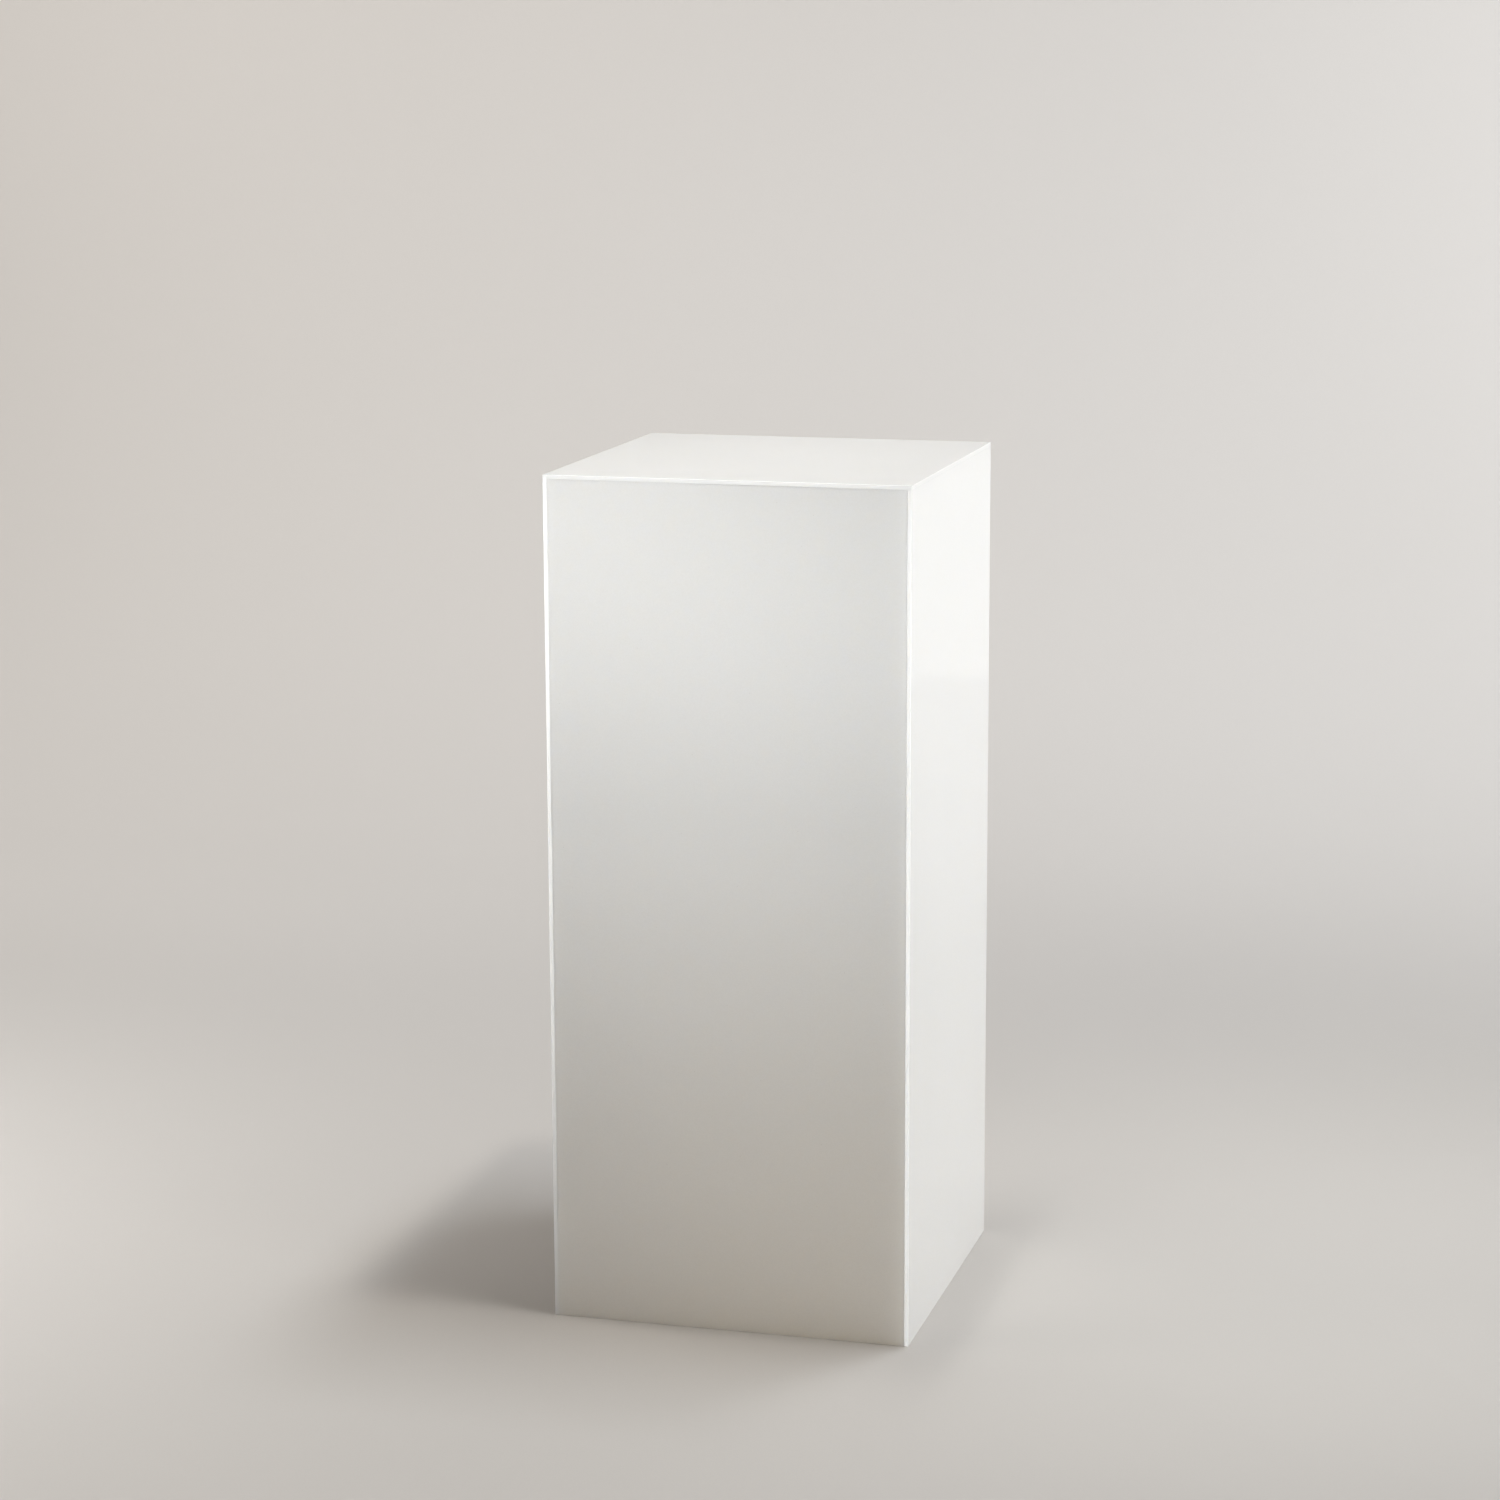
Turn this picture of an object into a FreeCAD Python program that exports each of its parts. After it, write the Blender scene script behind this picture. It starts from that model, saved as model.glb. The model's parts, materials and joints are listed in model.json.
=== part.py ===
import FreeCAD, Part

import math
import os

import Sketcher

# A tall square display plinth in white opal acrylic: a five-sided box, open underneath,
# made of flat sheet panels solvent-cemented edge to face.
#
# Frame: millimetres, +Z up, the front faces -Y and the right side faces +X.
# The origin is the middle of the footprint, on the surface that the plinth stands on.
#
# How it is put together:
# - the left and right panels run the full depth, so their polished edges show on the front
#   and on the back;
# - the front and back panels are held between them;
# - the top panel lies over all four walls, so its edge shows all round;
# - a thin fillet bead of cement runs along every inside corner.

DIMENSIONS = [
    ("width", 450.0, "outside width, left to right"),
    ("depth", 450.0, "outside depth, front to back"),
    ("height", 1050.0, "overall height"),
    ("sheet", 5.0, "thickness of the acrylic sheet"),
    ("arris", 0.4, "width of the broken, polished edges"),
    ("bead", 3.0, "leg of the cement fillet along the inside corners"),
    ("bead_lift", 5.0, "height of the upright beads' lower ends above the rim"),
]

WIDTH = "Dimensions.width"
DEPTH = "Dimensions.depth"
HEIGHT = "Dimensions.height"
SHEET = "Dimensions.sheet"
ARRIS = "Dimensions.arris"
BEAD = "Dimensions.bead"
BEAD_LIFT = "Dimensions.bead_lift"

INNER_WIDTH = f"{WIDTH} - 2 * {SHEET}"
INNER_DEPTH = f"{DEPTH} - 2 * {SHEET}"
WALL_HEIGHT = f"{HEIGHT} - {SHEET}"
INNER_HALF_WIDTH = f"({WIDTH} / 2 - {SHEET})"
INNER_HALF_DEPTH = f"({DEPTH} / 2 - {SHEET})"
UPRIGHT_BEAD = f"{HEIGHT} - {SHEET} - {BEAD} - {BEAD_LIFT}"

# The hollow of a bead's face: its radius in bead legs, and where its centre then lies on
# the diagonal between the two walls, so that the arc ends at the tips of both legs.
HOLLOW = 1.5
HOLLOW_CENTRE = (1 + math.sqrt(2 * HOLLOW**2 - 1)) / 2

ORIGIN_POINT = (-1, 1)


def make_sheet(doc):
    """The spreadsheet of driving dimensions, one alias for each."""
    table = doc.addObject("Spreadsheet::Sheet", "Dimensions")
    for row, (alias, value, meaning) in enumerate(DIMENSIONS, start=1):
        table.set(f"A{row}", alias)
        table.set(f"B{row}", str(value))
        table.set(f"C{row}", meaning)
        table.setAlias(f"B{row}", alias)
    doc.recompute()


def new_body(doc, name):
    body = doc.addObject("PartDesign::Body", name)
    body.Label = name
    return body


def new_sketch(body, name, role):
    """A sketch on the body's own origin plane that has this role."""
    sketch = body.newObject("Sketcher::SketchObject", f"{body.Name}_{name}")
    plane = next(f for f in body.Origin.OriginFeatures if f.Role == role)
    sketch.AttachmentSupport = (plane, [""])
    sketch.MapMode = "FlatFace"
    return sketch


def add_outline(sketch, corners):
    """Closed straight outline through the corners; returns the numbers of its lines."""
    points = [FreeCAD.Vector(x, y, 0) for x, y in corners]
    ends = points[1:] + points[:1]
    lines = [sketch.addGeometry(Part.LineSegment(a, b), False) for a, b in zip(points, ends)]
    for line, following in zip(lines, lines[1:] + lines[:1]):
        sketch.addConstraint(Sketcher.Constraint("Coincident", line, 2, following, 1))
    return lines


def bind(sketch, name, kind, *where, to):
    """A named dimension of the sketch, bound to an expression of the sheet's cells."""
    start = 1.0
    index = sketch.addConstraint(Sketcher.Constraint(kind, *where, start))
    sketch.renameConstraint(index, name)
    sketch.setExpression(f"Constraints.{name}", to)


def bind_point(sketch, name, line, x_to, y_to):
    """Holds the start of a line at (x, y) from the sketch's origin."""
    bind(sketch, f"{name}_x", "DistanceX", *ORIGIN_POINT, line, 1, to=x_to)
    bind(sketch, f"{name}_y", "DistanceY", *ORIGIN_POINT, line, 1, to=y_to)


def put(body, angle, tilt, x="0", y="0", z="0"):
    """Tilts a flat-lying body, turns it by angle degrees about +Z, and moves it to (x, y, z)."""
    turn = FreeCAD.Rotation(FreeCAD.Vector(0, 0, 1), angle)
    body.Placement = FreeCAD.Placement(FreeCAD.Vector(), turn * tilt)
    for axis, expression in zip("xyz", (x, y, z)):
        body.setExpression(f"Placement.Base.{axis}", expression)


# ---------------------------------------------------------------------------- sheet panels
# Each panel is drawn flat, as it is cut from the sheet: its width along X, centred, its
# length along +Y, its inner face down on z = 0 and its outer face up.


def exposed_all_round(x, y, z):
    """Top panel: the four upper edges and the four short corner edges."""
    return z > 0.25


def exposed_sides_and_foot(x, y, z):
    """Left and right panels: both long edges of each side, and both edges of the foot."""
    return y < 0.75 and abs(z - 0.5) > 0.25


def exposed_foot(x, y, z):
    """Front and back panels, held between the others: both edges of the foot."""
    return y < 0.25 and abs(z - 0.5) > 0.25


def edges_where(shape, exposed):
    """Names of the edges whose middles, as shares of the shape's box, are exposed."""
    box = shape.BoundBox
    names = []
    for number, edge in enumerate(shape.Edges, start=1):
        middle = edge.CenterOfMass
        x = (middle.x - box.XMin) / box.XLength
        y = (middle.y - box.YMin) / box.YLength
        z = (middle.z - box.ZMin) / box.ZLength
        if exposed(x, y, z):
            names.append(f"Edge{number}")
    return names


def add_panel(doc, name, width, length, exposed):
    """A sheet panel with its exposed edges broken by a small polished arris."""
    body = new_body(doc, name)
    outline = new_sketch(body, "outline", "XY_Plane")
    bottom, right, top, left = add_outline(outline, [(-1, 0), (1, 0), (1, 1), (-1, 1)])
    for line in (bottom, top):
        outline.addConstraint(Sketcher.Constraint("Horizontal", line))
    for line in (right, left):
        outline.addConstraint(Sketcher.Constraint("Vertical", line))
    bind(outline, "width", "DistanceX", bottom, 1, bottom, 2, to=width)
    bind(outline, "length", "DistanceY", right, 1, right, 2, to=length)
    bind_point(outline, "corner", bottom, f"-({width}) / 2", "0")

    blank = body.newObject("PartDesign::Pad", f"{name}_blank")
    blank.Profile = outline
    blank.setExpression("Length", SHEET)
    doc.recompute()

    edges = body.newObject("PartDesign::Chamfer", f"{name}_arrises")
    edges.Base = (blank, edges_where(blank.Shape, exposed))
    edges.setExpression("Size", ARRIS)
    return body


def add_panels(doc):
    flat = FreeCAD.Rotation()
    upright = FreeCAD.Rotation(FreeCAD.Vector(1, 0, 0), 90)

    top = add_panel(doc, "top_panel", WIDTH, DEPTH, exposed_all_round)
    put(top, 0, flat, y=f"-{DEPTH} / 2", z=WALL_HEIGHT)

    front = add_panel(doc, "front_panel", INNER_WIDTH, WALL_HEIGHT, exposed_foot)
    put(front, 0, upright, y=f"-{INNER_HALF_DEPTH}")

    right = add_panel(doc, "right_panel", DEPTH, WALL_HEIGHT, exposed_sides_and_foot)
    put(right, 90, upright, x=INNER_HALF_WIDTH)

    back = add_panel(doc, "back_panel", INNER_WIDTH, WALL_HEIGHT, exposed_foot)
    put(back, 180, upright, y=INNER_HALF_DEPTH)

    left = add_panel(doc, "left_panel", DEPTH, WALL_HEIGHT, exposed_sides_and_foot)
    put(left, 270, upright, x=f"-{INNER_HALF_WIDTH}")

    return [top, front, right, back, left]


# ---------------------------------------------------------------------------- cement beads
# Each bead is drawn with the inside corner on its own Z axis and its two legs lying on the
# two panels, along +X and +Y.


def add_bead_profile(body):
    """Two straight legs and a hollow face between their tips."""
    profile = new_sketch(body, "profile", "XY_Plane")
    centre = FreeCAD.Vector(HOLLOW_CENTRE, HOLLOW_CENTRE, 0)
    circle = Part.Circle(centre, FreeCAD.Vector(0, 0, 1), HOLLOW)
    from_y = math.atan2(1 - HOLLOW_CENTRE, -HOLLOW_CENTRE) + 2 * math.pi
    from_x = math.atan2(-HOLLOW_CENTRE, 1 - HOLLOW_CENTRE) + 2 * math.pi
    corner = FreeCAD.Vector(0, 0, 0)
    tip_x = FreeCAD.Vector(1, 0, 0)
    tip_y = FreeCAD.Vector(0, 1, 0)

    leg_x = profile.addGeometry(Part.LineSegment(corner, tip_x), False)
    leg_y = profile.addGeometry(Part.LineSegment(corner, tip_y), False)
    face = profile.addGeometry(Part.ArcOfCircle(circle, from_y, from_x), False)
    for leg in (leg_x, leg_y):
        profile.addConstraint(Sketcher.Constraint("Coincident", leg, 1, *ORIGIN_POINT))
    profile.addConstraint(Sketcher.Constraint("Horizontal", leg_x))
    profile.addConstraint(Sketcher.Constraint("Vertical", leg_y))
    profile.addConstraint(Sketcher.Constraint("Coincident", face, 1, leg_y, 2))
    profile.addConstraint(Sketcher.Constraint("Coincident", face, 2, leg_x, 2))
    bind(profile, "leg_x", "DistanceX", leg_x, 1, leg_x, 2, to=BEAD)
    bind(profile, "leg_y", "DistanceY", leg_y, 1, leg_y, 2, to=BEAD)
    bind(profile, "hollow", "Radius", face, to=f"{HOLLOW} * {BEAD}")
    return profile


def add_bead(doc, name, length, symmetric):
    """A straight bead along Z, either upwards from z = 0 or equally both ways."""
    body = new_body(doc, name)
    run = body.newObject("PartDesign::Pad", f"{name}_run")
    run.Profile = add_bead_profile(body)
    run.SideType = "Symmetric" if symmetric else "One side"
    run.setExpression("Length", length)
    return body


def mitre_ends(doc, body, length):
    """Cuts both ends at 45 degrees, so that beads round a corner meet without overlapping."""
    doc.recompute()
    whole = body.Shape.Volume
    outline = new_sketch(body, "mitre", "XZ_Plane")
    for side, end in (("upper", 1), ("lower", -1)):
        corners = [(-1, 3 * end), (2, 3 * end), (2, 0)]
        outer, near, _ = add_outline(outline, corners)
        outline.addConstraint(Sketcher.Constraint("Horizontal", outer))
        outline.addConstraint(Sketcher.Constraint("Vertical", near))
        beyond = f"{end} * (({length}) / 2 + {BEAD})"
        bind_point(outline, side, outer, f"-{BEAD}", beyond)
        bind(outline, f"{side}_width", "DistanceX", outer, 1, outer, 2, to=f"3 * {BEAD}")
        drop = f"{-end} * 3 * {BEAD}"
        bind(outline, f"{side}_drop", "DistanceY", near, 1, near, 2, to=drop)

    mitre = body.newObject("PartDesign::Pocket", f"{body.Name}_mitres")
    mitre.Profile = outline
    mitre.SideType = "Symmetric"
    mitre.setExpression("Length", f"4 * {BEAD}")
    doc.recompute()
    if not body.Shape.Volume < whole:
        raise RuntimeError(f"{body.Label}: the mitres cut nothing")


def add_upright_beads(doc):
    """One bead up each inside corner, from just above the rim to the top bead."""
    corners = [
        ("front_left", 0, f"-{INNER_HALF_WIDTH}", f"-{INNER_HALF_DEPTH}"),
        ("front_right", 90, INNER_HALF_WIDTH, f"-{INNER_HALF_DEPTH}"),
        ("back_right", 180, INNER_HALF_WIDTH, INNER_HALF_DEPTH),
        ("back_left", 270, f"-{INNER_HALF_WIDTH}", INNER_HALF_DEPTH),
    ]
    beads = []
    for place, angle, x, y in corners:
        bead = add_bead(doc, f"cement_bead_{place}", UPRIGHT_BEAD, symmetric=False)
        put(bead, angle, FreeCAD.Rotation(), x, y, BEAD_LIFT)
        beads.append(bead)
    return beads


def add_top_beads(doc):
    """Four mitred beads round the underside of the top panel, one along each wall."""
    inward = FreeCAD.Vector(0, 1, 0)
    down = FreeCAD.Vector(0, 0, -1)
    along = FreeCAD.Vector(-1, 0, 0)
    hang = FreeCAD.Rotation(inward, down, along, "XYZ")
    runs = [
        ("front", 0, INNER_WIDTH, "0", f"-{INNER_HALF_DEPTH}"),
        ("right", 90, INNER_DEPTH, INNER_HALF_WIDTH, "0"),
        ("back", 180, INNER_WIDTH, "0", INNER_HALF_DEPTH),
        ("left", 270, INNER_DEPTH, f"-{INNER_HALF_WIDTH}", "0"),
    ]
    beads = []
    for place, angle, length, x, y in runs:
        bead = add_bead(doc, f"cement_bead_top_{place}", length, symmetric=True)
        mitre_ends(doc, bead, length)
        put(bead, angle, hang, x, y, WALL_HEIGHT)
        beads.append(bead)
    return beads


# ---------------------------------------------------------------------------- whole plinth


def check(doc, bodies):
    """Stops if a feature failed, or if a sub-part isn't one valid solid."""
    for item in doc.Objects:
        if "Invalid" in item.State or "Error" in item.State:
            raise RuntimeError(f"{item.Name} failed: {item.State}")
    for body in bodies:
        shape = body.Shape
        if shape.isNull() or not shape.isValid() or len(shape.Solids) != 1:
            raise RuntimeError(f"{body.Label} isn't one valid solid")


def main():
    doc = FreeCAD.newDocument("DisplayPlinth")
    make_sheet(doc)
    bodies = add_panels(doc) + add_upright_beads(doc) + add_top_beads(doc)
    doc.recompute()
    check(doc, bodies)
    os.makedirs("parts", exist_ok=True)
    for body in bodies:
        body.Shape.exportStep(f"parts/{body.Label}.step")
        print(f"{body.Label}: {body.Shape.Volume:.0f} mm3")


main()
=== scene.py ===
import json
import math
import random

import bmesh
import bpy
from mathutils import Matrix, Vector

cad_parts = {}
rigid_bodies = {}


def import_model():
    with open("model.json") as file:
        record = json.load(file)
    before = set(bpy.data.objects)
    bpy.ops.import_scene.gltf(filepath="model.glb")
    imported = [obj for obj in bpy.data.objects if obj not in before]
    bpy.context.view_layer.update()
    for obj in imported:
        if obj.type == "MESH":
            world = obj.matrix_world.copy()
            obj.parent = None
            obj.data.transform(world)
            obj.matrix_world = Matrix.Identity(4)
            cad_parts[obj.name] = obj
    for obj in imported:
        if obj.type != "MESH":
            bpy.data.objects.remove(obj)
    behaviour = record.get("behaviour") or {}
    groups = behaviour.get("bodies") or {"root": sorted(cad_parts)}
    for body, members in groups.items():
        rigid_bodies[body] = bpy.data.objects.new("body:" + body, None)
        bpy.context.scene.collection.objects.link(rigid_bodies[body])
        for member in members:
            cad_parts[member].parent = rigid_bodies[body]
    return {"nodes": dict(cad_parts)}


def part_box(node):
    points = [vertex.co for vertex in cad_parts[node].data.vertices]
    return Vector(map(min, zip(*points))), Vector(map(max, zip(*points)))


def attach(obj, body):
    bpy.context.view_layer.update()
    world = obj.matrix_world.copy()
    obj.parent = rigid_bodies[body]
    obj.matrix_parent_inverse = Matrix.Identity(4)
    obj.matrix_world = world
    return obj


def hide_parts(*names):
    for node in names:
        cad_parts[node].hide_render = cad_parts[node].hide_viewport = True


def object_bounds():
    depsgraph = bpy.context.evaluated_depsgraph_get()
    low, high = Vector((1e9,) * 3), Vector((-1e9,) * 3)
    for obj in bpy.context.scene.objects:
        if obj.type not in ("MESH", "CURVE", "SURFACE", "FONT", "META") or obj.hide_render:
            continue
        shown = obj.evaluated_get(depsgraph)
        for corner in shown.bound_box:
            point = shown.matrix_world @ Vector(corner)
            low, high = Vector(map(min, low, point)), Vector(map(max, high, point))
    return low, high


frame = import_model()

# A tall square display plinth in white opal acrylic. Metres, +Z up, the front faces -Y.
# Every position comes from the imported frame; the sheet panels and the cement beads are
# rebuilt here with rounded arrises, a slight bow and their materials.

CAD_LOW, CAD_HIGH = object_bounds()

MM = 0.001

ACRYLIC_IOR = 1.49
FACE_SCATTER = 2 * MM
EDGE_SCATTER = 0.5 * MM

GRID = 0.02  # width of the cells that a sheet's faces are cut into
JOINT_GAP = 0.04 * MM  # room for the cement between two sheets
ARRIS = 0.45 * MM  # rounding of free edges
SEAM_ARRIS = 0.12 * MM  # rounding of edges that meet another sheet
ARRIS_STEPS = 3
AT_END = 1e-4  # share of a side that still counts as its end
BOW = 0.35 * MM  # deepest bow of a sheet
BOW_WAVES = 5
WAVE_SHARE = 0.25  # share of the bow that the waves change
FACE_NORMAL = 0.98  # a sheet's face points across it by more than this, a cut edge by less
SHEET_CREASE = math.radians(50)

# A bead is a share of the CAD fillet that varies along it and stays under 1.
BEAD_SIZE = 0.84
BEAD_SWELL = 0.05
BEAD_WAVES = (7, 17, 41)
BEAD_RINGS = 120
BEAD_STEPS = 6
BEAD_HOLLOW = 0.82  # radius of the hollow face, as a share of the bead's leg
BEAD_CREASE = math.radians(40)


# ------------------------------------------------------------------------------ materials


class Nodes:
    """A material's node tree, with short ways to add and join nodes."""

    def __init__(self, name):
        self.material = bpy.data.materials.new(name)
        self.material.use_nodes = True
        self.tree = self.material.node_tree
        self.shader = self.tree.nodes["Principled BSDF"]
        self.place = self.add("ShaderNodeTexCoord").outputs["Object"]

    def add(self, kind, **settings):
        node = self.tree.nodes.new(kind)
        for key, value in settings.items():
            setattr(node, key, value)
        return node

    def join(self, source, target):
        self.tree.links.new(source, target)

    def noise(self, scale, detail=2.0, roughness=0.5, stretch=(1, 1, 1)):
        mapping = self.add("ShaderNodeMapping")
        mapping.inputs["Scale"].default_value = stretch
        self.join(self.place, mapping.inputs["Vector"])
        node = self.add("ShaderNodeTexNoise")
        node.inputs["Scale"].default_value = scale
        node.inputs["Detail"].default_value = detail
        node.inputs["Roughness"].default_value = roughness
        self.join(mapping.outputs["Vector"], node.inputs["Vector"])
        return node.outputs["Fac"]

    def specks(self, scale, size):
        """1 inside small scattered spots, 0 elsewhere."""
        node = self.add("ShaderNodeTexVoronoi")
        node.inputs["Scale"].default_value = scale
        self.join(self.place, node.inputs["Vector"])
        return self.ramp(node.outputs["Distance"], (0.5 * size, 1), (size, 0))

    def ramp(self, source, low, high):
        """Straight change from low = (position, value) to high, level beyond both."""
        node = self.add("ShaderNodeMapRange")
        node.inputs["From Min"].default_value = low[0]
        node.inputs["From Max"].default_value = high[0]
        node.inputs["To Min"].default_value = low[1]
        node.inputs["To Max"].default_value = high[1]
        self.join(source, node.inputs["Value"])
        return node.outputs["Result"]

    def total(self, first, second):
        node = self.add("ShaderNodeMath", operation="ADD")
        self.join(first, node.inputs[0])
        self.join(second, node.inputs[1])
        return node.outputs["Value"]

    def mix_colour(self, share, first, second):
        """The node's colour inputs are numbers 6 and 7, and its colour output is number 2."""
        node = self.add("ShaderNodeMix", data_type="RGBA")
        self.join(share, node.inputs["Factor"])
        for socket, value in ((node.inputs[6], first), (node.inputs[7], second)):
            if isinstance(value, tuple):
                socket.default_value = (*value, 1)
            else:
                self.join(value, socket)
        return node.outputs[2]

    def bump(self, source, distance, strength):
        node = self.add("ShaderNodeBump")
        node.inputs["Strength"].default_value = strength
        node.inputs["Distance"].default_value = distance
        self.join(source, node.inputs["Height"])
        return node.outputs["Normal"]

    def set(self, **values):
        """Sets or joins the shader's sockets, named with _ for a space."""
        for key, value in values.items():
            socket = self.shader.inputs[key.replace("_", " ")]
            if hasattr(value, "is_output"):
                self.join(value, socket)
            else:
                socket.default_value = value


def opal(nodes, scatter):
    """What every cut of the opal sheet shares: milky scatter under a glossy skin."""
    nodes.set(IOR=ACRYLIC_IOR, Subsurface_Weight=1.0, Subsurface_Scale=scatter)
    nodes.set(Subsurface_Radius=(1.0, 0.98, 0.94))
    nodes.shader.subsurface_method = "RANDOM_WALK"


def make_face_material():
    nodes = Nodes("opal_face")
    opal(nodes, FACE_SCATTER)

    cloud = nodes.noise(4.0, detail=3.0)
    whites = nodes.mix_colour(cloud, (0.93, 0.93, 0.915), (0.945, 0.944, 0.935))
    grain = nodes.ramp(nodes.noise(700.0, detail=1.0), (0.35, 0.35), (0.65, 0.0))
    milk = nodes.mix_colour(grain, whites, (0.89, 0.885, 0.865))
    dust = nodes.specks(55.0, 0.035)
    nodes.set(Base_Color=nodes.mix_colour(dust, milk, (0.80, 0.79, 0.77)))

    haze = nodes.ramp(nodes.noise(9.0, detail=4.0), (0.35, 0.045), (0.75, 0.085))
    wipes = nodes.noise(60.0, detail=6.0, roughness=0.7, stretch=(1, 1, 0.08))
    streaks = nodes.ramp(wipes, (0.62, 0.0), (0.80, 0.05))
    nodes.set(Roughness=nodes.total(haze, streaks))

    peel = nodes.noise(45.0, detail=1.0)
    nodes.set(Normal=nodes.bump(peel, 0.02 * MM, strength=0.35))
    return nodes.material


def make_edge_material():
    nodes = Nodes("opal_edge")
    opal(nodes, EDGE_SCATTER)
    cloud = nodes.noise(30.0, detail=3.0)
    nodes.set(Base_Color=nodes.mix_colour(cloud, (0.945, 0.945, 0.93), (0.96, 0.96, 0.95)))
    chatter = nodes.noise(900.0, detail=2.0)
    nodes.set(Roughness=nodes.ramp(chatter, (0.3, 0.10), (0.7, 0.20)))
    nodes.set(Normal=nodes.bump(chatter, 0.02 * MM, strength=0.4))
    return nodes.material


def make_cement_material():
    nodes = Nodes("dried_cement")
    lumps = nodes.noise(260.0, detail=4.0)
    nodes.set(IOR=ACRYLIC_IOR)
    nodes.set(Base_Color=nodes.mix_colour(lumps, (0.80, 0.80, 0.76), (0.88, 0.88, 0.85)))
    nodes.set(Roughness=nodes.ramp(lumps, (0.3, 0.18), (0.7, 0.38)))
    nodes.set(Normal=nodes.bump(lumps, 0.3 * MM, strength=0.6))
    return nodes.material


def make_paper_material():
    nodes = Nodes("backdrop_paper")
    tone = nodes.noise(0.6, detail=1.0)
    paper = nodes.mix_colour(tone, (0.60, 0.57, 0.54), (0.63, 0.60, 0.57))
    fibres = nodes.noise(350.0, detail=3.0)
    flecks = nodes.ramp(fibres, (0.30, 0.25), (0.50, 0.0))
    nodes.set(Base_Color=nodes.mix_colour(flecks, paper, (0.57, 0.54, 0.51)))
    nodes.set(Roughness=nodes.ramp(fibres, (0.3, 0.86), (0.7, 0.94)))
    nodes.set(Normal=nodes.bump(fibres, 0.05 * MM, strength=0.3))
    nodes.set(Specular_IOR_Level=0.1)
    return nodes.material


# ------------------------------------------------------------------------------ sheet panels


def finish_piece(bm, name, node, materials, crease):
    """Makes bm the piece that replaces a CAD node, smooth except at edges past the crease."""
    for face in bm.faces:
        face.smooth = True
    for edge in bm.edges:
        if len(edge.link_faces) == 2 and edge.calc_face_angle() > crease:
            edge.smooth = False
    mesh = bpy.data.meshes.new(name)
    bm.to_mesh(mesh)
    bm.free()
    for material in materials:
        mesh.materials.append(material)
    piece = bpy.data.objects.new(name, mesh)
    bpy.context.scene.collection.objects.link(piece)
    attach(piece, "root")
    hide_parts(node)
    return piece


def divided_box(low, high):
    """A box between two corners, its faces cut into a grid of cells about GRID wide."""
    bm = bmesh.new()
    bmesh.ops.create_cube(bm, size=1.0)
    size = high - low
    middle = (low + high) / 2
    bmesh.ops.scale(bm, vec=size, verts=bm.verts)
    bmesh.ops.translate(bm, vec=middle, verts=bm.verts)
    for axis in range(3):
        cells = max(1, round(size[axis] / GRID))
        normal = Vector([1.0 if i == axis else 0.0 for i in range(3)])
        for step in range(1, cells):
            cut = low + normal * (size[axis] * step / cells)
            everything = bm.verts[:] + bm.edges[:] + bm.faces[:]
            bmesh.ops.bisect_plane(bm, geom=everything, plane_co=cut, plane_no=normal)
    return bm


def ends_of(point, low, high):
    """For each axis: 0 at the low side of the box, 1 at the high side, None between."""
    ends = []
    for axis in range(3):
        share = (point[axis] - low[axis]) / (high[axis] - low[axis])
        ends.append(0 if share < AT_END else 1 if share > 1 - AT_END else None)
    return ends


def arris_of_top(x, y, z):
    """Rounding of an edge of the top sheet; an end value is None along the edge itself."""
    return ARRIS if z != 0 else SEAM_ARRIS


def arris_of_side(inner):
    """The left and right sheets: inner is the end of x that faces the hollow."""

    def arris_of(x, y, z):
        if z == 1:
            return 0
        return SEAM_ARRIS if x == inner and z is None else ARRIS

    return arris_of


def arris_of_captured(x, y, z):
    """The front and back sheets show one free edge each, the lower one."""
    return ARRIS if z == 0 and x is None else 0


def round_arrises(bm, low, high, arris_of):
    """Rounds each edge of the box by what arris_of gives for its ends."""
    for radius in (ARRIS, SEAM_ARRIS):
        chosen = []
        for edge in bm.edges:
            middle = (edge.verts[0].co + edge.verts[1].co) / 2
            ends = ends_of(middle, low, high)
            if sum(end is not None for end in ends) == 2 and arris_of(*ends) == radius:
                chosen.append(edge)
        bmesh.ops.bevel(
            bm,
            geom=chosen,
            offset=radius,
            segments=ARRIS_STEPS,
            profile=0.5,
            affect="EDGES",
            clamp_overlap=True,
        )


def bow(bm, low, high, thin, inward, seed):
    """Bends the whole sheet a little towards the hollow, by a slow bow with slight waves."""
    along = [axis for axis in range(3) if axis != thin]
    draw = random.Random(seed)
    waves = [(draw.uniform(1.0, 3.5), draw.uniform(1.0, 6.0), draw.uniform(0, 2 * math.pi))
             for _ in range(BOW_WAVES)]
    for vert in bm.verts:
        u, v = [(vert.co[a] - low[a]) / (high[a] - low[a]) for a in along]
        held = math.sin(math.pi * u) * math.sin(math.pi * v)
        wave_sum = sum(math.sin(math.pi * (fu * u + fv * v) + at) for fu, fv, at in waves)
        ripple = wave_sum / BOW_WAVES
        vert.co[thin] += inward * BOW * held * (1 - WAVE_SHARE + WAVE_SHARE * ripple)


def make_panel(node, name, thin, inward, arris_of, seed, materials, gap=(0, 0, 0)):
    """A sheet, thin along one axis. The gap is left free at both ends of each axis."""
    low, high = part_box(node)
    low = low + Vector(gap)
    high = high - Vector(gap)
    bm = divided_box(low, high)
    round_arrises(bm, low, high, arris_of)
    bow(bm, low, high, thin, inward, seed)
    for face in bm.faces:
        face.material_index = 0 if abs(face.normal[thin]) > FACE_NORMAL else 1
    piece = finish_piece(bm, name, node, materials, SHEET_CREASE)
    weighted = piece.modifiers.new("normals", "WEIGHTED_NORMAL")
    weighted.keep_sharp = True


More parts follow.
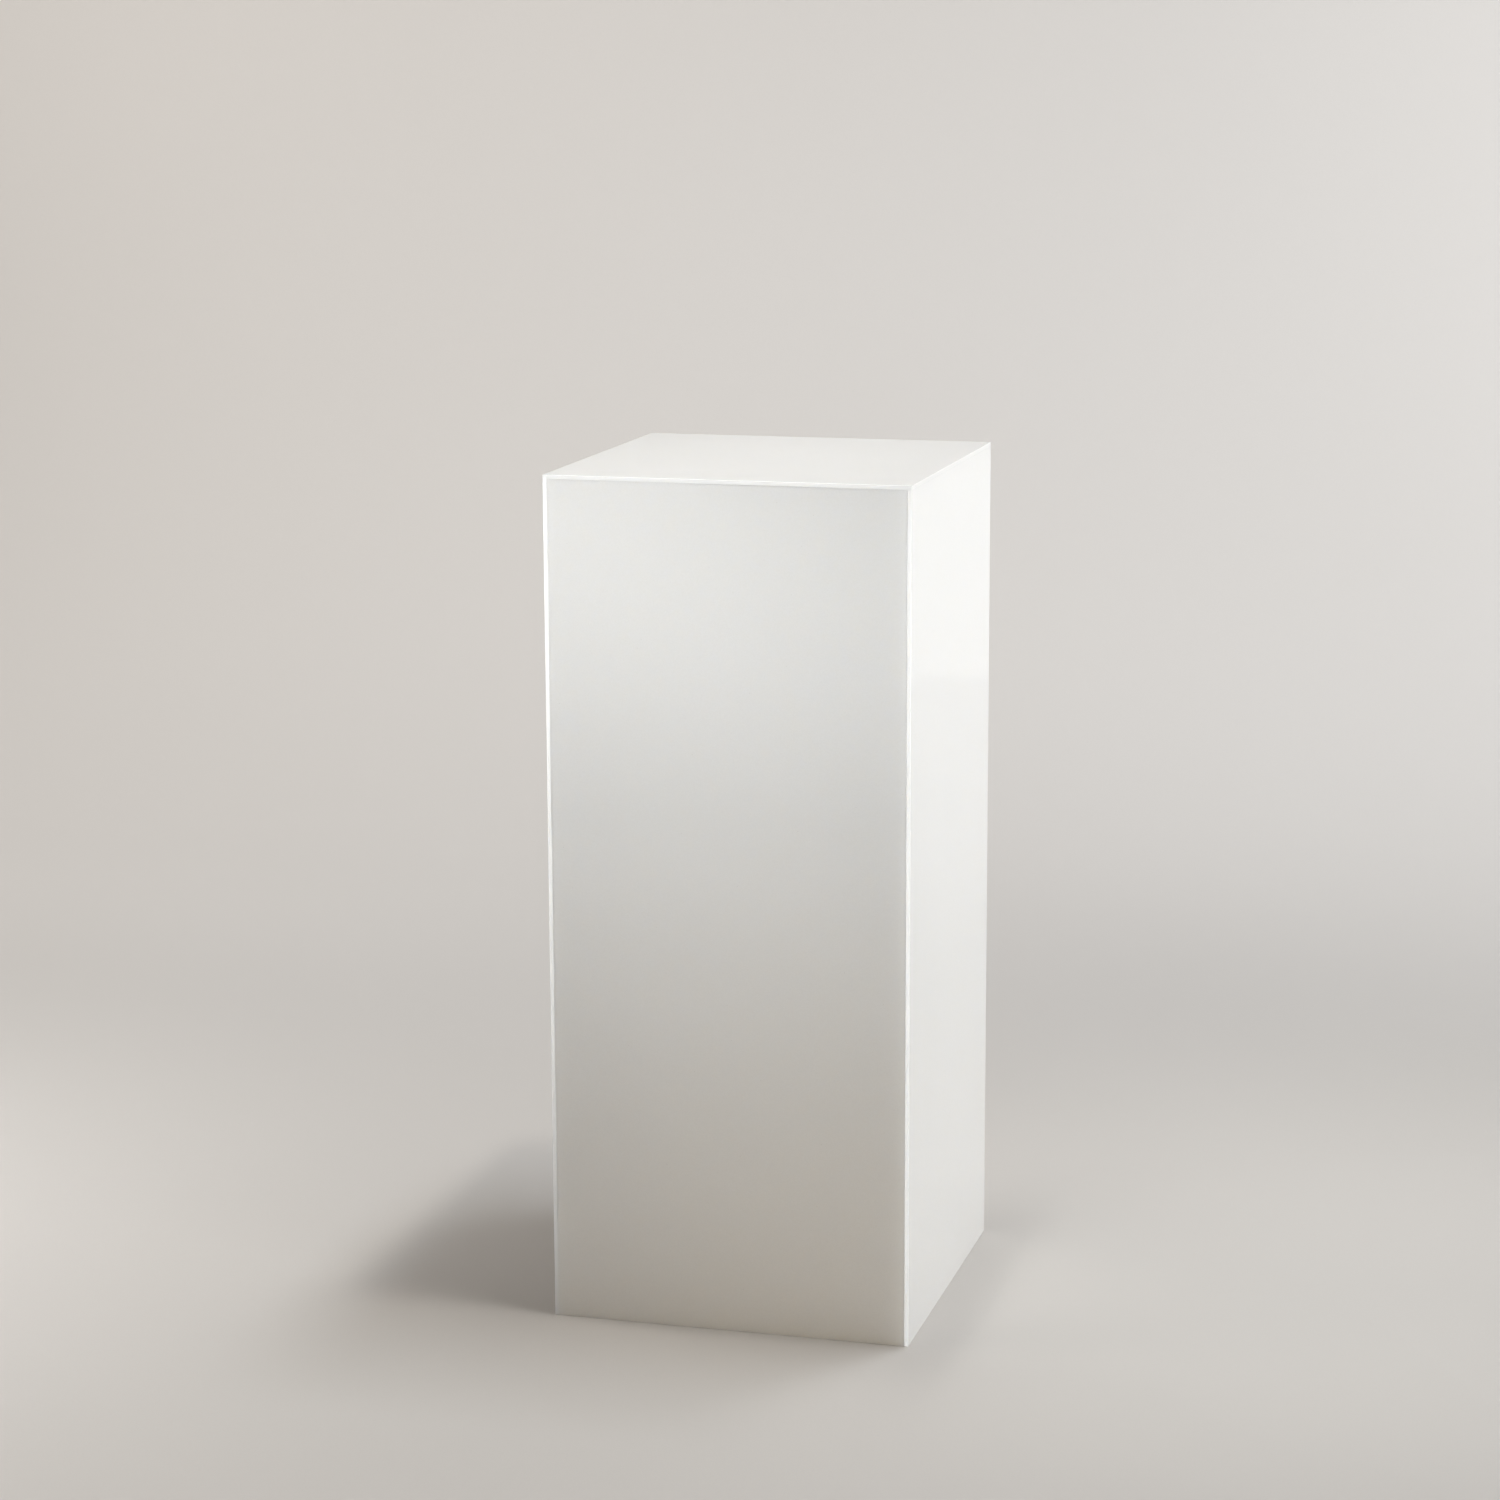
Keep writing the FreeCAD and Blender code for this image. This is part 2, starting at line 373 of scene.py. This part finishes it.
def make_panels():
    materials = [make_face_material(), make_edge_material()]
    ends = (JOINT_GAP, 0, JOINT_GAP / 2)
    rim = (0, 0, JOINT_GAP / 2)
    # node, piece, thin axis, way to the hollow, rounding of the edges, seed, materials, gap
    make_panel("top_panel", "top_sheet", 2, -1, arris_of_top, 11, materials)
    make_panel("front_panel", "front_sheet", 1, 1, arris_of_captured, 12, materials, ends)
    make_panel("back_panel", "back_sheet", 1, -1, arris_of_captured, 13, materials, ends)
    make_panel("left_panel", "left_sheet", 0, 1, arris_of_side(1), 14, materials, rim)
    make_panel("right_panel", "right_sheet", 0, -1, arris_of_side(0), 15, materials, rim)


# ----------------------------------------------------------------------------- cement beads


def bead_profile(leg):
    """Points across a hollow fillet: the corner, then the face from one leg to the other."""
    points = [(0.0, 0.0)]
    for step in range(BEAD_STEPS + 1):
        turn = math.pi / 2 * step / BEAD_STEPS
        x = leg * (1 - BEAD_HOLLOW * math.sin(turn))
        y = leg * (1 - BEAD_HOLLOW * math.cos(turn))
        points.append((x, y))
    points[1] = (leg, 0.0)
    points[-1] = (0.0, leg)
    return points


def make_bead(node, seed, material):
    """A fillet along the node's longest side, a little uneven, as dried cement is."""
    low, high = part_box(node)
    size = high - low
    along = max(range(3), key=lambda axis: size[axis])
    across = [axis for axis in range(3) if axis != along]
    middle = (CAD_LOW + CAD_HIGH) / 2
    corner = Vector(low)
    signs = []
    for axis in across:
        outside_low = abs(low[axis] - middle[axis]) > abs(high[axis] - middle[axis])
        corner[axis] = low[axis] if outside_low else high[axis]
        signs.append(1 if outside_low else -1)
    leg = min(size[axis] for axis in across)
    # The beads round the top meet in mitres, and the upright ones end square.
    mitred = along != 2
    draw = random.Random(seed)
    phase = [draw.uniform(0, 2 * math.pi) for _ in BEAD_WAVES]

    bm = bmesh.new()
    rings = []
    for step in range(BEAD_RINGS + 1):
        share = step / BEAD_RINGS
        swell = BEAD_SIZE + BEAD_SWELL * sum(
            math.sin(2 * math.pi * share * rate + at) for rate, at in zip(BEAD_WAVES, phase)
        )
        ring = []
        for a, b in bead_profile(leg * swell):
            point = Vector(corner)
            point[across[0]] += signs[0] * a
            point[across[1]] += signs[1] * b
            inset = (a if across[0] != 2 else b) if mitred else 0.0
            point[along] = low[along] + inset + (size[along] - 2 * inset) * share
            ring.append(bm.verts.new(point))
        rings.append(ring)
    for ring, following in zip(rings, rings[1:]):
        for i in range(len(ring)):
            j = (i + 1) % len(ring)
            bm.faces.new((ring[i], ring[j], following[j], following[i]))
    bm.faces.new(rings[0])
    bm.faces.new(rings[-1])
    bmesh.ops.recalc_face_normals(bm, faces=bm.faces)
    name = node.replace("cement_bead", "dried_bead")
    finish_piece(bm, name, node, [material], BEAD_CREASE)


def make_beads():
    material = make_cement_material()
    names = sorted(name for name in frame["nodes"] if name.startswith("cement_bead"))
    for seed, node in enumerate(names, start=31):
        make_bead(node, seed, material)


# ------------------------------------------------------------------------ studio and camera


def make_backdrop():
    """A seamless sweep: a wide floor that curves up into a wall behind."""
    front, back, radius, top, half = -2.8, 4.5, 2.5, 4.0, 5.0
    bend_steps = 24
    line = [(front, 0.0), (0.0, 0.0)]
    for step in range(bend_steps + 1):
        turn = math.pi / 2 * step / bend_steps
        line.append((back - radius + radius * math.sin(turn), radius * (1 - math.cos(turn))))
    line.append((back, top))
    bm = bmesh.new()
    rows = [[bm.verts.new((x, y, z)) for x in (-half, half)] for y, z in line]
    for (a, b), (c, d) in zip(rows, rows[1:]):
        bm.faces.new((a, b, d, c)).smooth = True
    mesh = bpy.data.meshes.new("backdrop")
    bm.to_mesh(mesh)
    bm.free()
    mesh.materials.append(make_paper_material())
    backdrop = bpy.data.objects.new("backdrop", mesh)
    bpy.context.scene.collection.objects.link(backdrop)


AMBER = (1.0, 0.78, 0.45)
SOFT = (1.0, 0.955, 0.895)
PALE = (1.0, 0.975, 0.94)
WHITE = (0.99, 1.0, 0.985)
COOL = (0.94, 0.97, 1.0)
BLUE = (0.88, 0.94, 1.0)

# Lights that reach only one part of the set, as flags and grids would arrange it. The plinth
# shades floor_right at its right foot. The glossy right face mirrors right_back above a level
# line. The edge and seam lights stand for the light that milky sheet carries along to its cut
# edges.
LIGHTS = [
    # name, lit part, place, aimed at, width, height, spread in degrees, watts, colour
    ("key", "sweep", (0.42, -0.28, 3.4), (0.42, -0.28, 0.0), 0.12, 0.25, 180, 21.0, SOFT),
    ("overhead", "sweep", (0.87, 0.42, 4.93), (0.87, 0.42, 0.0), 0.61, 1.5, 180, 95.0, BLUE),
    ("floor_left", "sweep", (-2.5, -0.5, 3.5), (-2.5, -0.5, 0.0), 2.0, 2.0, 120, 33.0, SOFT),
    ("floor_pool", "sweep", (-2.2, -0.3, 3.0), (-1.8, -0.4, 0.0), 0.8, 0.8, 50, 4.5, COOL),
    ("floor_front", "sweep", (0.0, -2.4, 3.4), (0.0, -2.4, 0.0), 7.0, 0.8, 50, 18.0, SOFT),
    ("floor_near", "sweep", (1.5, -1.0, 2.0), (-0.45, -0.75, 0.0), 0.5, 0.5, 44, 0.5, WHITE),
    ("floor_right", "sweep", (0.085, 0.2, 3.4), (0.95, 0.15, 0.0), 1.2, 0.1, 40, 2.2, WHITE),
    ("bend", "sweep", (0.0, 1.5, 3.2), (0.0, 2.3, 0.0), 5.0, 0.6, 60, 1.5, COOL),
    ("cove", "sweep", (-0.6, 0.8, 3.2), (-0.8, 3.4, 0.3), 2.5, 1.0, 120, 18.0, COOL),
    ("wall_left", "sweep", (-3.2, 0.0, 3.6), (-3.2, 4.5, 1.8), 2.0, 1.5, 110, 60.0, PALE),
    ("wall_right", "sweep", (3.2, 0.0, 3.6), (3.2, 4.5, 1.8), 2.0, 1.5, 110, 120.0, COOL),
    ("right_box", "plinth", (2.5, 0.3, 1.05), (0.0, 0.0, 0.6), 1.2, 1.6, 120, 15.0, WHITE),
    ("right_back", "plinth", (1.15, 2.3, 1.18), (0.225, 0.0, 1.18), 1.6, 1.7, 180, 1.1, WHITE),
    ("right_high", "plinth", (1.6, 0.2, 1.2), (0.2, 0.0, 1.2), 0.8, 0.4, 180, 4.5, COOL),
    ("top_box", "plinth", (0.0, 0.0, 2.4), (0.0, 0.0, 1.05), 0.8, 0.8, 120, 7.8, WHITE),
    ("front_right", "plinth", (0.6, -1.3, 1.3), (0.22, -0.2, 0.85), 0.4, 0.3, 60, 0.6, WHITE),
    ("front_left", "plinth", (-0.7, -1.5, 1.5), (-0.2, -0.2, 0.95), 0.5, 0.3, 60, 1.8, WHITE),
    ("front_low", "front_sheet", (0.6, -1.6, 0.35), (0.05, -0.2, 0.03), 0.3, 0.3, 50, 0.18, AMBER),
    ("edge_right", "right_sheet", (0.15, -2.0, 0.4), (0.22, -0.2, 0.3), 0.3, 0.8, 180, 11.0, WHITE),
    ("edge_foot", "right_sheet", (0.15, -2.0, 0.08), (0.22, -0.2, 0.08), 0.3, 0.3, 40, 0.39, WHITE),
    ("edge_left", "left_sheet", (-0.15, -2.0, 1.4), (-0.22, -0.2, 1.05), 0.3, 0.3, 50, 1.2, WHITE),
    ("edge_low", "left_sheet", (-0.15, -2.0, 0.36), (-0.22, -0.2, 0.36), 0.3, 0.3, 32, 0.22, WHITE),
    ("edge_top", "top_sheet", (0.0, -2.0, 1.0), (0.0, -0.2, 1.047), 0.8, 0.2, 180, 4.3, WHITE),
]

# Narrow lights just in front of the front sheet's seams: name, side of the front, watts.
SEAM_LIGHTS = [("seam_right", 1, 0.007), ("seam_left", -1, 0.0025)]
SEAM_LIGHT_WIDTH = 10 * MM
SEAM_LIGHT_INSET = 0.2 * MM  # in from the front sheet's side
SEAM_LIGHT_CLEAR = 0.3 * MM  # out from its face


def make_lit_parts():
    """Collections of what a light may reach: the sweep, the plinth or one of its sheets."""
    sheets = ("front_sheet", "left_sheet", "right_sheet", "top_sheet")
    parts = {name: bpy.data.collections.new(name) for name in ("sweep", "plinth", *sheets)}
    for piece in bpy.context.scene.objects:
        if piece.type == "MESH":
            parts["sweep" if piece.name == "backdrop" else "plinth"].objects.link(piece)
            if piece.name in sheets:
                parts[piece.name].objects.link(piece)
    return parts


def add_light(parts, name, part, place, aim, width, height, spread, watts, colour):
    data = bpy.data.lights.new(name, "AREA")
    data.shape = "RECTANGLE"
    data.size = width
    data.size_y = height
    data.spread = math.radians(spread)
    data.energy = watts
    data.color = colour
    light = bpy.data.objects.new(name, data)
    light.location = place
    light.rotation_euler = (Vector(aim) - Vector(place)).to_track_quat("-Z", "Y").to_euler()
    light.light_linking.receiver_collection = parts[part]
    light.visible_camera = False
    bpy.context.scene.collection.objects.link(light)
    return light


def add_seam_light(parts, name, side, watts):
    """An upright strip at a seam, which faces across the front sheet."""
    low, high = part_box("front_panel")
    seam = high.x if side > 0 else low.x
    x = seam - side * SEAM_LIGHT_INSET
    y = low.y - SEAM_LIGHT_CLEAR - SEAM_LIGHT_WIDTH / 2
    place = Vector((x, y, high.z / 2))
    aim = place - Vector((side, 0, 0))
    width, height, spread = SEAM_LIGHT_WIDTH, high.z, 180
    light = add_light(parts, name, "front_sheet", place, aim, width, height, spread, watts, WHITE)
    light.visible_glossy = False


def make_world(strength, shown):
    """A dim warm fill all round; past the sweep's edges the camera sees a paler tone."""
    world = bpy.data.worlds.new("studio")
    world.use_nodes = True
    tree = world.node_tree
    fill = tree.nodes["Background"]
    fill.inputs["Color"].default_value = (1.0, 0.94, 0.87, 1)
    fill.inputs["Strength"].default_value = strength
    pale = tree.nodes.new("ShaderNodeBackground")
    pale.inputs["Color"].default_value = (1.0, 0.94, 0.88, 1)
    pale.inputs["Strength"].default_value = shown
    rays = tree.nodes.new("ShaderNodeLightPath")
    mix = tree.nodes.new("ShaderNodeMixShader")
    tree.links.new(rays.outputs["Is Camera Ray"], mix.inputs["Fac"])
    tree.links.new(fill.outputs["Background"], mix.inputs[1])
    tree.links.new(pale.outputs["Background"], mix.inputs[2])
    tree.links.new(mix.outputs["Shader"], tree.nodes["World Output"].inputs["Surface"])
    bpy.context.scene.world = world


def make_camera():
    """A long lens at eye height, a little to the right of the front."""
    data = bpy.data.cameras.new("camera")
    data.sensor_width = 36.0
    data.lens = 89.4
    camera = bpy.data.objects.new("camera", data)
    place = Vector((1.179, -4.407, 1.601))
    yaw, pitch, roll = (math.radians(a) for a in (15.37, -11.37, -0.25))
    heading = Matrix.Rotation(yaw, 3, "Z") @ Matrix.Rotation(math.radians(90) + pitch, 3, "X")
    turn = heading @ Matrix.Rotation(roll, 3, "Z")
    camera.matrix_world = Matrix.Translation(place) @ turn.to_4x4()
    bpy.context.scene.collection.objects.link(camera)
    bpy.context.scene.camera = camera


make_panels()
make_beads()
make_backdrop()
lit_parts = make_lit_parts()
for light in LIGHTS:
    add_light(lit_parts, *light)
for light in SEAM_LIGHTS:
    add_seam_light(lit_parts, *light)
make_world(strength=0.04, shown=0.58)
make_camera()
bpy.context.scene.view_settings.view_transform = "Standard"
